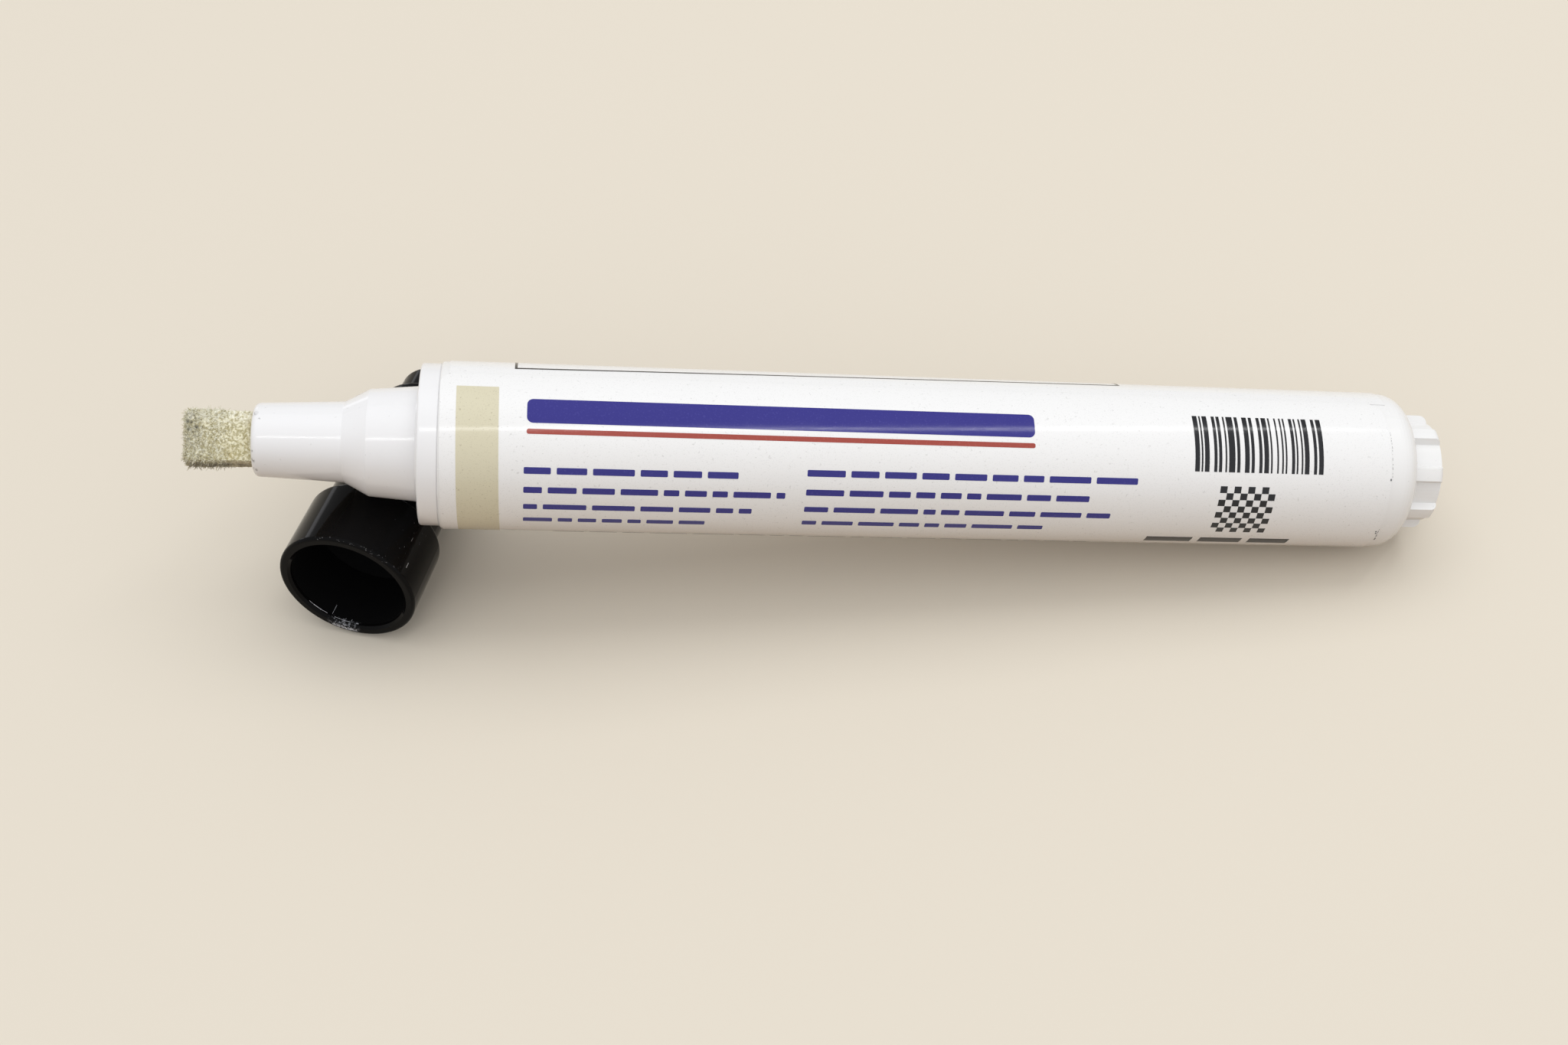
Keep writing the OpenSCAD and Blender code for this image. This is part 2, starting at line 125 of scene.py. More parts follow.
def skewed_surface(u, phi, h):
    return label_surface(u, phi - FRAME_SKEW * (u - FRAME_U), h)


def barrel_surface(u, phi, h):
    return on_marker(u, barrel_r(u) + h, phi)


def skirt_surface(t, psi, h):
    return on_cap(t, CAP_R - SKIRT_TAPER * t / SKIRT_L + h, psi)


def bore_surface(t, psi, h):
    return on_cap(t, BORE_R - h, psi)


def lip_surface(r, psi, h):
    return on_cap(-h, r, psi)


def rim_surface(turn, psi, h):
    a = math.radians(turn)
    return on_cap(LIP_R - (LIP_R + h) * math.sin(a), CAP_R - LIP_R + (LIP_R + h) * math.cos(a), psi)


# Materials


def start_material(name):
    mat = bpy.data.materials.new(name)
    mat.use_nodes = True
    mat.node_tree.nodes.clear()
    return mat, mat.node_tree


def add(tree, kind, inputs=None, **props):
    n = tree.nodes.new(kind)
    for key, value in props.items():
        setattr(n, key, value)
    for key, value in (inputs or {}).items():
        if isinstance(value, bpy.types.NodeSocket):
            tree.links.new(value, n.inputs[key])
        else:
            n.inputs[key].default_value = value
    return n


def grain(tree, scale, detail=2.0, rough=0.5):
    where = add(tree, "ShaderNodeTexCoord").outputs["Object"]
    values = {"Vector": where, "Scale": scale, "Detail": detail, "Roughness": rough}
    return add(tree, "ShaderNodeTexNoise", values).outputs["Fac"]


def spread(tree, value, low, high, to_low=0.0, to_high=1.0):
    values = {"Value": value, "From Min": low, "From Max": high, "To Min": to_low, "To Max": to_high}
    return add(tree, "ShaderNodeMapRange", values, clamp=True).outputs["Result"]


def blend(tree, share, first, second):
    return add(tree, "ShaderNodeMix", {0: share, 6: first, 7: second}, data_type="RGBA").outputs[2]


def reckon(tree, operation, first, second):
    return add(tree, "ShaderNodeMath", {0: first, 1: second}, operation=operation).outputs[0]


def times(tree, first, second):
    return reckon(tree, "MULTIPLY", first, second)


def larger(tree, first, second):
    return reckon(tree, "MAXIMUM", first, second)


def near(tree, point, inner, outer):
    """One within the inner distance of a point, in mm, and nothing past the outer one."""
    where = add(tree, "ShaderNodeTexCoord").outputs["Object"]
    gap = add(tree, "ShaderNodeVectorMath", {0: where, 1: tuple(point)}, operation="DISTANCE")
    return spread(tree, gap.outputs["Value"], inner * MM, outer * MM, 1.0, 0.0)


def any_near(tree, places):
    total = None
    for point, inner, outer in places:
        spot = near(tree, point, inner, outer)
        total = spot if total is None else larger(tree, total, spot)
    return total


def rgb(r, g, b):
    return (r, g, b, 1.0)


def close_material(tree, colour, roughness, height=None, depth=0.01, **values):
    inputs = {"Base Color": colour, "Roughness": roughness}
    inputs.update(values)
    if height is not None:
        bump = add(tree, "ShaderNodeBump", {"Height": height, "Strength": 1.0, "Distance": depth * MM})
        inputs["Normal"] = bump.outputs["Normal"]
    shader = add(tree, "ShaderNodeBsdfPrincipled", inputs)
    out = add(tree, "ShaderNodeOutputMaterial")
    tree.links.new(shader.outputs["BSDF"], out.inputs["Surface"])


def white_plastic(name, low, high, gloss, smudges=()):
    mat, tree = start_material(name)
    colour = blend(tree, grain(tree, 60.0, 2.0), rgb(*low), rgb(*high))
    speck = spread(tree, grain(tree, 2600.0, 1.0), 0.76, 0.80, 0.0, 0.16)
    colour = blend(tree, speck, colour, rgb(0.30, 0.28, 0.26))
    if smudges:
        dirt = any_near(tree, smudges)
        dirt = times(tree, dirt, spread(tree, grain(tree, 5200.0, 3.0), 0.42, 0.58, 0.0, 0.85))
        colour = blend(tree, dirt, colour, rgb(0.10, 0.09, 0.075))
    rough = spread(tree, grain(tree, 420.0, 4.0), 0.3, 0.7, gloss - 0.03, gloss + 0.04)
    close_material(tree, colour, rough, grain(tree, 700.0, 2.0), 0.0012, **{"IOR": 1.49})
    return mat


def film(name, low, high, speck_colour, speck_share):
    mat, tree = start_material(name)
    colour = blend(tree, grain(tree, 90.0, 2.0), rgb(*low), rgb(*high))
    dust = spread(tree, grain(tree, 3300.0, 2.0), 0.66, 0.74, 0.0, speck_share)
    fine = spread(tree, grain(tree, 8200.0, 1.0), 0.60, 0.72, 0.0, speck_share * 0.5)
    colour = blend(tree, larger(tree, dust, fine), colour, rgb(*speck_colour))
    rough = spread(tree, grain(tree, 900.0, 3.0), 0.3, 0.7, 0.10, 0.15)
    close_material(tree, colour, rough, grain(tree, 1500.0, 2.0), 0.0008, **{"IOR": 1.47})
    return mat


def ink(name, colour, worn, share=0.5):
    mat, tree = start_material(name)
    dots = spread(tree, grain(tree, 5200.0, 2.0), 0.58, 0.75, 0.0, share)
    mixed = blend(tree, dots, rgb(*colour), rgb(*worn))
    rough = spread(tree, grain(tree, 900.0, 3.0), 0.3, 0.7, 0.11, 0.16)
    close_material(tree, mixed, rough, grain(tree, 1500.0, 2.0), 0.0008, **{"IOR": 1.45})
    return mat


# Places on the felt: a point, and the distances within which they show fully and past which they don't
STAINS = ((nib_point(-21.5, -1.5, 1.6), 0.3, 1.0), (nib_point(-21.2, -0.7, 1.6), 0.2, 1.0),
          (nib_point(-21.7, 0.6, 1.6), 0.1, 0.7))
SPOTS = ((nib_point(-21.95, -1.3, 1.6), 0.1, 0.28), (nib_point(-21.65, -1.2, 1.6), 0.06, 0.25),
         (nib_point(-21.1, -0.75, 1.6), 0.08, 0.28), (nib_point(-21.85, -0.5, 1.6), 0.04, 0.26))
# Painted shade: dark brown over the felt's lower narrow face, which turns away from the light
UNDERSIDE_SHADE = ((nib_point(-21.2, 2.7, -0.2), 0.5, 1.6), (nib_point(-19.9, 2.7, -0.2), 0.5, 1.5),
        (nib_point(-18.4, 2.7, -0.3), 0.3, 1.4), (nib_point(-16.9, 2.7, -0.4), 0.2, 1.3))
GREYED = ((nib_point(-21.4, 0.2, 1.6), 0.3, 1.5), (nib_point(-21.2, 1.6, 1.6), 0.3, 1.4))
# Painted shade: darker, yellower felt where the nib meets the nozzle
ROOT_SHADE = ((nib_point(-16.0, 0.9, 1.6), 0.3, 1.5), (nib_point(-17.9, 1.7, 1.6), 0.2, 1.1),
            (nib_point(-16.0, -1.1, 1.6), 0.2, 1.0))
# Painted light: near-white felt along the nib's upper edge, where light falls from above
TOP_EDGE_LIGHT = tuple((nib_point(u, -2.2, 1.4), 0.3, 1.3) for u in (-21.6, -20.4, -19.2, -18.0, -16.8))
# The tone that the felt takes on at such places, and its largest share; the tone next to the nozzle is painted
# shade, the one along the upper edge painted light
FELT_TONES = ((GREYED, rgb(0.40, 0.375, 0.30), 0.45), (ROOT_SHADE, rgb(0.40, 0.33, 0.14), 0.6),
              (TOP_EDGE_LIGHT, rgb(0.99, 0.975, 0.85), 0.9))


def felt_material(name, low, high, tint, share):
    mat, tree = start_material(name)
    curl = grain(tree, 5600.0, 3.0, 0.6)
    tuft = reckon(tree, "ADD", grain(tree, 3900.0, 2.0), curl)
    colour = blend(tree, spread(tree, tuft, 0.91, 1.09), rgb(*low), rgb(*high))
    colour = blend(tree, spread(tree, grain(tree, 1500.0, 3.0), 0.4, 0.66, 0.0, 0.25), colour, rgb(*tint))
    for places, tone, most in FELT_TONES:
        patchy = spread(tree, grain(tree, 3300.0, 2.0), 0.42, 0.58, 0.05, most)
        colour = blend(tree, times(tree, any_near(tree, places), patchy), colour, tone)
    patchy = spread(tree, grain(tree, 4400.0, 2.0), 0.50, 0.60, 0.0, 0.65 * share)
    stain = times(tree, any_near(tree, STAINS), patchy)
    stain = larger(tree, stain, times(tree, any_near(tree, SPOTS), share))
    colour = blend(tree, stain, colour, rgb(0.075, 0.073, 0.072))
    # Painted shade on the felt's lower narrow face
    patchy = spread(tree, grain(tree, 2600.0, 3.0), 0.35, 0.6, 0.35, 0.85)
    colour = blend(tree, times(tree, any_near(tree, UNDERSIDE_SHADE), patchy), colour, rgb(0.16, 0.135, 0.10))
    values = {"Sheen Weight": 0.2, "Sheen Roughness": 0.5, "Specular IOR Level": 0.15}
    close_material(tree, colour, 0.95, curl, 0.03, **values)
    return mat


def cap_material():
    mat, tree = start_material("black_gloss")
    scratch = spread(tree, grain(tree, 3800.0, 2.0), 0.72, 0.78, 0.0, 0.5)
    rub = times(tree, near(tree, on_cap(0.3, 6.3, 168), 0.6, 1.9),
                spread(tree, grain(tree, 3100.0, 4.0, 0.7), 0.50, 0.60, 0.0, 0.8))
    edge = any_near(tree, ((on_cap(1.8, 7.0, -46), 0.5, 3.6), (on_cap(5.2, 7.0, -52), 0.4, 2.6)))
    worn = larger(tree, rub, times(tree, edge, scratch))
    colour = blend(tree, worn, rgb(0.0035, 0.0034, 0.0036), rgb(0.36, 0.37, 0.40))
    rough = spread(tree, grain(tree, 500.0, 4.0, 0.6), 0.35, 0.75, 0.05, 0.11)
    close_material(tree, colour, rough, grain(tree, 260.0, 2.0), 0.003, **{"Specular IOR Level": 0.07})
    return mat


def plain_material(name, low, high, rough, metal=0.0, level=0.5):
    mat, tree = start_material(name)
    colour = blend(tree, grain(tree, 900.0, 3.0), rgb(*low), rgb(*high))
    varied = spread(tree, grain(tree, 1600.0, 3.0), 0.3, 0.7, rough - 0.05, rough + 0.05)
    values = {"Metallic": metal, "Specular IOR Level": level}
    close_material(tree, colour, varied, grain(tree, 2400.0, 2.0), 0.004, **values)
    return mat


NOZZLE_SMUDGES = ((on_marker(-15.55, 3.5, -4), 0.1, 0.42), (on_marker(-15.08, 3.6, 7), 0.05, 0.22),
                  (on_marker(-15.68, 3.5, 77), 0.08, 0.36), (on_marker(-15.5, 3.55, 96), 0.1, 0.34),
                  (on_marker(-15.7, 3.45, 60), 0.04, 0.2))
white_nose = white_plastic("white_gloss", (0.84, 0.84, 0.85), (0.855, 0.855, 0.865), 0.12, NOZZLE_SMUDGES)
white_body = white_plastic("white_satin", (0.85, 0.85, 0.845), (0.865, 0.865, 0.86), 0.24)
paper = film("label_white", (0.865, 0.865, 0.862), (0.88, 0.88, 0.878), (0.42, 0.41, 0.40), 0.34)
band_film = film("label_beige", (0.66, 0.615, 0.455), (0.69, 0.65, 0.485), (0.36, 0.31, 0.20), 0.5)
indigo = ink("ink_indigo", (0.026, 0.023, 0.225), (0.06, 0.055, 0.30))
brick = ink("ink_brick", (0.36, 0.062, 0.045), (0.45, 0.13, 0.10))
black = ink("ink_black", (0.010, 0.011, 0.014), (0.03, 0.03, 0.033))
scuff = ink("scuff_grey", (0.13, 0.135, 0.15), (0.45, 0.45, 0.45), 0.8)
pale_scratch = ink("scratch_pale", (0.24, 0.24, 0.25), (0.05, 0.05, 0.055), 0.8)
faint_scratch = ink("scratch_faint", (0.085, 0.083, 0.083), (0.02, 0.02, 0.022), 0.8)
# Pale grey for worn flecks on the lip and the mouth's ticks, and for the painted highlight along the mouth's inner
# edge
pale_wear_and_highlight = ink("pale_wear_and_mouth_highlight", (0.66, 0.67, 0.71), (0.14, 0.14, 0.15), 0.8)
# The block's felt has darker tones than its fibres: painted shade between the fibres
felt_core = felt_material("felt_core", (0.42, 0.375, 0.21), (0.84, 0.80, 0.595), (0.52, 0.47, 0.30), 0.85)
felt_hair = felt_material("felt_hair", (0.60, 0.545, 0.335), (0.985, 0.965, 0.81), (0.68, 0.635, 0.44), 0.55)
gloss_black = cap_material()
matt_black = plain_material("black_matt", (0.0030, 0.0030, 0.0032), (0.0045, 0.0045, 0.0047), 0.75,
                            level=0.05)
rubber = plain_material("seal_rubber", (0.020, 0.020, 0.020), (0.035, 0.034, 0.033), 0.7)
natural = plain_material("natural_plastic", (0.72, 0.70, 0.62), (0.80, 0.78, 0.71), 0.38)
steel = plain_material("bright_steel", (0.50, 0.50, 0.52), (0.62, 0.62, 0.64), 0.22, 1.0)

for name, mat in (("barrel", white_body), ("nose_piece", white_nose), ("label", paper), ("nib", felt_core),
                  ("valve_seat", rubber), ("valve_stem", natural), ("valve_cup", natural),
                  ("valve_spring", steel), ("mixing_ball", steel), ("cap", gloss_black)):
    nodes[name].data.materials.clear()
    nodes[name].data.materials.append(mat)


# Pieces


def piece(name, verts, faces, mat, body, sharp=35, hides=None):
    mesh = bpy.data.meshes.new(name)
    mesh.from_pydata([tuple(v) for v in verts], [], faces)
    mesh.materials.append(mat)
    bm = bmesh.new()
    bm.from_mesh(mesh)
    bmesh.ops.recalc_face_normals(bm, faces=bm.faces)
    bm.to_mesh(mesh)
    bm.free()
    mesh.shade_smooth()
    mesh.set_sharp_from_angle(angle=math.radians(sharp))
    obj = bpy.data.objects.new(name, mesh)
    bpy.context.scene.collection.objects.link(obj)
    if hides:
        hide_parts(hides)
    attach(obj, body)
    return obj


def ribbon(verts, faces, surface, rows, low, high):
    """A thin closed sheet on a surface: each row is an angle, the two lengths between which it lies, and
    how much lower its upper side is there."""
    first = len(verts)
    for angle, a, b, drop in rows:
        for h in (low, high - drop):
            verts.append(surface(a, angle, h))
            verts.append(surface(b, angle, h))
    last = first + 4 * (len(rows) - 1)
    for k in range(first, last, 4):
        n = k + 4
        faces += [(k, k + 1, n + 1, n), (k + 2, n + 2, n + 3, k + 3), (k, n, n + 2, k + 2),
                  (k + 1, k + 3, n + 3, n + 1)]
    faces += [(first, first + 2, first + 3, first + 1), (last, last + 1, last + 3, last + 2)]


def rounded_rows(a, b, start, end, radius, about, step=3.0):
    """Rows of a rectangle with rounded corners: a and b in mm, start and end in degrees. The surface's
    radius, about, turns mm into degrees."""
    turn = math.degrees(1 / about)
    span = (end - start) / turn
    radius = min(radius, span / 2.001, (b - a) / 2.001)
    marks = [radius * (1 - math.cos(math.pi / 2 * i / 8)) for i in range(9)] if radius > 0 else [0.0]
    middle = max(1, int((span - 2 * radius) * turn / step))
    inner = [radius + (span - 2 * radius) * i / middle for i in range(1, middle)]
    places = marks + inner + [span - m for m in reversed(marks)]
    rows = []
    for d in places:
        edge = min(d, span - d)
        inset = radius - math.sqrt(max(0.0, radius ** 2 - (radius - edge) ** 2)) if edge < radius else 0.0
        rows.append((start + d * turn, a + inset, b - inset, 0.0))
    return rows


def bars(name, boxes, mat, about=PRINT_R, surface=label_surface, radius=0.0, body="marker",
         low=PRINT_LOW, high=PRINT_HIGH, step=3.0):
    """One piece of flat bars on a surface: each box is two lengths and two angles."""
    verts, faces = [], []
    for a, b, start, end in boxes:
        ribbon(verts, faces, surface, rounded_rows(a, b, start, end, radius, about, step), low, high)
    piece(name, verts, faces, mat, body)


def cap_wear(name, boxes, mat, about, surface, step, radius=WEAR_CORNER_R, high=WEAR_HIGH):
    bars(name, boxes, mat, about, surface, radius, "loose_cap", WEAR_LOW, high, step)


# The wrap label, a little skewed: its first end has round corners, its other end dips a little
wrap = []
wrap_end = SEAM + 360 - SEAM_GAP
for phi, a, b, drop in rounded_rows(LABEL_A, LABEL_B, SEAM + SEAM_GAP, wrap_end, LABEL_CORNER_R, LABEL_R):
    if phi > SEAM + 180:
        a, b = LABEL_A, LABEL_B
    skew = LABEL_SKEW * (phi - SEAM)
    drop = DIP * min(1.0, max(0.0, (phi - SEAM - DIP_START) / DIP_SPAN))
    wrap.append((phi, a + skew, b + skew, drop))
verts, faces = [], []
ribbon(verts, faces, label_surface, wrap, -LABEL_T, 0.0)
piece("label_film", verts, faces, paper, "marker", hides="label")

# The colour band on it, which follows the skew as far as the front side shows
verts, faces, band = [], [], []
for phi, a, b, drop in rounded_rows(BAND_A, BAND_B, BAND_START, BAND_END, 0.0, PRINT_R):
    skew = BAND_SKEW * min(phi, BAND_SKEW_END) + BAND_SHIFT
    band.append((phi, a + skew, b + skew, drop))
ribbon(verts, faces, label_surface, band, PRINT_LOW, PRINT_HIGH)
piece("label_band", verts, faces, band_film, "marker")

# Plain bars in the places of the print
WORD_LENGTHS, WORD_GAP, LEAST_ROOM = (1.2, 4.2), 0.55, 0.8
rng = random.Random(11)


def word_rows(a, b, start, lines, pitch, height, shorten):
    """Lines of bars of random length between a and b; each line ends earlier by its share of shorten."""
    made = []
    for k in range(lines):
        phi = start + k * pitch
        end = b - shorten[k % len(shorten)]
        u = a
        while u < end - LEAST_ROOM:
            length = min(rng.uniform(*WORD_LENGTHS), end - u)
            made.append((u, u + length, phi, phi + height))
            u += length + WORD_GAP
    return made


words = word_rows(10.1, 35.2, 55.0, 4, 14.0, 4.6, (4.0, 0.0, 2.0, 6.5))
words += word_rows(37.2, 70.4, 52.0, 4, 14.0, 4.6, (0.0, 5.0, 2.5, 9.0))
words += word_rows(11.0, 70.0, 218.0, 8, 12.0, 3.4, (0.0, 6.0, 1.0, 14.0))
bars("label_words", words, indigo, radius=0.12)
bars("label_stripe", ((10.3, 59.6, 8.0, 25.5),), indigo, radius=0.6)
bars("label_accent", ((10.3, 59.6, 29.5, 33.0),), brick, radius=0.2)

# Black print: a row of stripes, a plain check, three lines of bars below, and three blocks at the rear
STRIPE_WIDTHS, STRIPE_GAPS = (0.17, 0.17, 0.32, 0.48, 0.64), (0.17, 0.2, 0.34, 0.48)
STRIPES_A, LAST_STRIPE_A, STRIPES_B = 75.8, 88.9, 89.3
CHECK_SQUARES, CHECK_PITCH_U, CHECK_PITCH_PHI = 8, 0.72, 5.1
marks = []
u = STRIPES_A
while u < LAST_STRIPE_A:
    width = rng.choice(STRIPE_WIDTHS)
    marks.append((u, min(u + width, STRIPES_B), 4.5, 46.0))
    u += width + rng.choice(STRIPE_GAPS)
for i in range(CHECK_SQUARES):
    for k in range(CHECK_SQUARES):
        if (i + k) % 2 == 0:
            along, around = CHECK_PITCH_U * i, CHECK_PITCH_PHI * k
            marks.append((78.6 + along, 79.31 + along, 56.0 + around, 61.05 + around))
marks += word_rows(13.0, 68.0, 128.0, 3, 11.0, 3.6, (0.0, 1.0, 20.0))
marks += [(a, b, 106.0, 115.0) for a, b in ((72.6, 77.4), (78.2, 82.6), (83.4, 87.6))]
bars("label_marks", marks, black)

# The thin frame: its long lines are cut into parts, so that they follow the barrel as they turn with the skew
frame_lines = [(9.0, 9.25, 206.7, 334.2), (69.4, 69.65, 206.7, 334.2)]
part_l = FRAME_L / FRAME_PARTS
for k in range(FRAME_PARTS):
    u = FRAME_U + part_l * k
    frame_lines += [(u, u + part_l - 0.004, phi, phi + 1.65) for phi in (205.0, 334.25)]
bars("label_frame", frame_lines, black, surface=skewed_surface)

# Small scuffs at the rear end of the label, and on the barrel behind it
label_scuffs = ((96.05, 96.22, 92.0, 93.4), (96.14, 96.28, 94.0, 95.6), (96.12, 96.28, 47.6, 49.2))
bars("label_scuffs", label_scuffs, scuff, 8.04, radius=0.05, high=0.008, step=0.5)
barrel_scuffs = [(96.33, 96.45, 90.6, 92.4), (96.36, 96.5, 93.0, 95.4), (96.4, 96.52, 96.4, 98.0),
                 (96.5, 96.62, 98.8, 100.2), (96.6, 96.74, 103.2, 106.0), (96.55, 96.64, 101.6, 102.4)]
LINE_U, LINE_PHI, LINE_PITCH, LINE_PARTS = 96.33, 12.0, 2.2, 16
for k in range(LINE_PARTS):
    phi = LINE_PHI + k * LINE_PITCH + rng.uniform(-1, 1)
    u = LINE_U + rng.uniform(0, 0.05)
    barrel_scuffs.append((u, u + rng.uniform(0.02, 0.035), phi, phi + rng.uniform(0.4, 1.4)))
bars("barrel_scuffs", barrel_scuffs, scuff, 8.0, barrel_surface, WEAR_CORNER_R,
     low=WEAR_LOW, high=WEAR_HIGH, step=0.5)

# Wear on the cap: scratches on its skirt, faint flecks on its rim, pale worn ones on its lip, marks in its mouth,
# where a pale line along its inner edge is a painted highlight
scratches = ((1.3, 1.95, -62.5, -61.8), (4.2, 4.7, -55.7, -55.35), (3.0, 3.1, -52.2, -52.0))
cap_wear("cap_scratches", scratches, pale_scratch, 7.0, skirt_surface, 0.3, 0.0, 0.008)
RIM_FLECKS, LIP_DOTS, LIP_STROKES = 26, 52, 18
LIP_IN, LIP_MID, LIP_OUT, RUB_START = 6.31, 6.6, 6.69, 157.5
rng = random.Random(23)
rim_flecks = []
for _ in range(RIM_FLECKS):
    turn, psi = rng.uniform(5, 60), rng.uniform(-58, 20)
    rim_flecks.append((turn, turn + rng.uniform(4, 14), psi, psi + rng.uniform(0.25, 0.9)))
cap_wear("cap_rim_flecks", rim_flecks, faint_scratch, 7.0, rim_surface, 0.5, 0.0)
lip_flecks = []
for _ in range(LIP_DOTS):
    r, psi = rng.uniform(LIP_IN, LIP_MID), rng.uniform(RUB_START, 181.0)
    lip_flecks.append((r, min(LIP_OUT, r + rng.uniform(0.05, 0.3)), psi, psi + rng.uniform(0.2, 0.4)))
for _ in range(LIP_STROKES):
    r = rng.choice((rng.uniform(LIP_IN, LIP_MID), rng.uniform(LIP_MID, 6.65)))
    psi = rng.uniform(RUB_START, 178.0)
    lip_flecks.append((r, r + rng.uniform(0.02, 0.035), psi, psi + rng.uniform(1.5, 4.0)))
cap_wear("cap_lip_flecks", lip_flecks, pale_wear_and_highlight, 6.4, lip_surface, 0.6)
# A broken pale line just inside the mouth: a painted highlight along its inner edge, with some pale marks
mouth_highlight_and_marks = ((0.39, 0.415, 127.5, 133.0), (0.37, 0.43, 133.1, 143.0), (0.39, 0.42, 143.1, 149.5),
               (0.39, 0.41, 157.0, 172.0), (0.38, 0.43, 179.5, 182.0))
cap_wear("cap_mouth_highlight_and_marks", mouth_highlight_and_marks, pale_wear_and_highlight, BORE_R, bore_surface, 1.5, high=0.03)
mouth_ticks = ((0.6, 1.8, 154.0, 154.25), (0.55, 0.75, 168.0, 168.2), (0.55, 0.8, 174.0, 174.2))
cap_wear("cap_mouth_ticks", mouth_ticks, pale_wear_and_highlight, BORE_R, bore_surface, 1.5, high=0.04)

# The matt inside of the cap: a skin over its bore, its step and its chamber
SKIN_STEPS, SKIN_OUT, SKIN_IN = 96, 0.05, 0.03
inside = ((0.6, BORE_R), (6.9, BORE_R), (8.1, CHAMBER_R), (22.0, CHAMBER_R))
skin = [(t, r + SKIN_OUT) for t, r in inside] + [(t, r - SKIN_IN) for t, r in reversed(inside)]
verts, faces = [], []
for k in range(SKIN_STEPS):
    verts += [on_cap(t, r, 360 / SKIN_STEPS * k) for t, r in skin]
for k in range(SKIN_STEPS):
    for i in range(len(skin)):
        a, b, n = len(skin) * k, len(skin) * ((k + 1) % SKIN_STEPS), (i + 1) % len(skin)
        faces.append((a + i, a + n, b + n, b + i))
piece("cap_inner_skin", verts, faces, matt_black, "loose_cap")

# The spring, with round wire
TURNS, STEPS, WIRE_SIDES = 7.5, 26, 10
COIL_R, WIRE_R, COIL_A, COIL_B = 2.3, 0.25, 0.56, 13.32
verts, faces = [], []
count = int(TURNS * STEPS)
slope = (COIL_B - COIL_A) / (2 * math.pi * TURNS * COIL_R)
tilt = 1 / math.hypot(1, slope)
for i in range(count + 1):
    angle = 2 * math.pi * TURNS * i / count
    mid = COIL_A + (COIL_B - COIL_A) * i / count
    for k in range(WIRE_SIDES):
        w = 2 * math.pi * k / WIRE_SIDES
        along = WIRE_R * math.sin(w)
        phi = math.degrees(angle - along * slope * tilt / COIL_R)
        verts.append(on_marker(mid + along * tilt, COIL_R + WIRE_R * math.cos(w), phi))
for i in range(count):
    for k in range(WIRE_SIDES):
        a, b = i * WIRE_SIDES + k, i * WIRE_SIDES + (k + 1) % WIRE_SIDES
        faces.append((a, b, b + WIRE_SIDES, a + WIRE_SIDES))
faces += [tuple(range(WIRE_SIDES)), tuple(count * WIRE_SIDES + k for k in reversed(range(WIRE_SIDES)))]
coil = piece("spring_coil", verts, faces, steel, "marker", hides="valve_spring")
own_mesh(coil)

# The felt nib: the block with a matted surface, and short fibres that lie on it or stand out of it
FELT_VOXEL, FIBRES, FIBRE_PARTS = 0.09, 9500, 3
FIBRE_RADII = (0.028, 0.032, 0.027, 0.010)
# In front of FREE_U the felt never enters the slot, and over FREE_SPAN its fibres grow free. Past RIM_W from
# the middle it is rim. Fibres in the slot keep within SLOT_ROOM of the felt
FREE_U, FREE_SPAN, RIM_W, SLOT_ROOM = NOZZLE_U - NIB_TRAVEL, 1.2, 2.1, 0.1
# The end's slant per mm across and through the felt, and the length over which it sets in
SLANT_W, SLANT_T, SLANT_L = 0.04, 0.15, 3.5


def felt_block():
    """The nib's solid with an even, fine mesh; the mesh is made in mm."""
    mesh = nodes["nib"].data.copy()
    mesh.transform(Matrix.Scale(1000, 4))
    obj = bpy.data.objects.new("felt_block", mesh)
    bpy.context.scene.collection.objects.link(obj)
    mod = obj.modifiers.new("even", "REMESH")
    mod.mode = "VOXEL"
    mod.voxel_size = FELT_VOXEL
    mod.adaptivity = 0.0
    made = bpy.data.meshes.new_from_object(obj.evaluated_get(bpy.context.evaluated_depsgraph_get()))
    bpy.data.objects.remove(obj)
    made.transform(Matrix.Scale(0.001, 4))
    return made


def matted(p):
    """Rough height of the felt at a point, in mm."""
    q = p * 1000
    coarse = noise.noise(q * 0.9)
    tufts = noise.noise(q * 3.6 + Vector((7, 3, 1)))
    fine = noise.noise(q * 8.0 + Vector((1, 9, 4)))
    return 0.035 * coarse + 0.05 * tufts + 0.045 * fine - 0.03


def cut_aslant(p):
    """The point, moved forward towards the tip, whose end is cut a little aslant."""
    q = (p - COLLAR) / MM
    reach = SLANT_W * (NIB_W / 2 - q.dot(NIB_ACROSS)) + SLANT_T * (NIB_T / 2 - q.dot(NIB_OUT))
    share = min(1.0, max(0.0, (FREE_U - q.dot(AXIS)) / SLANT_L))
    return p - AXIS * (reach * share * MM)


def within_slot(p, room):
    """The point, moved so that it passes through the nozzle's slot with the felt."""
    for way, half in ((NIB_ACROSS, NIB_W / 2 * MM), (NIB_OUT, NIB_T / 2 * MM)):
        over = (p - COLLAR).dot(way)
        kept = max(-half - room, min(half + room, over))
        p = p + way * (kept - over)
    return p


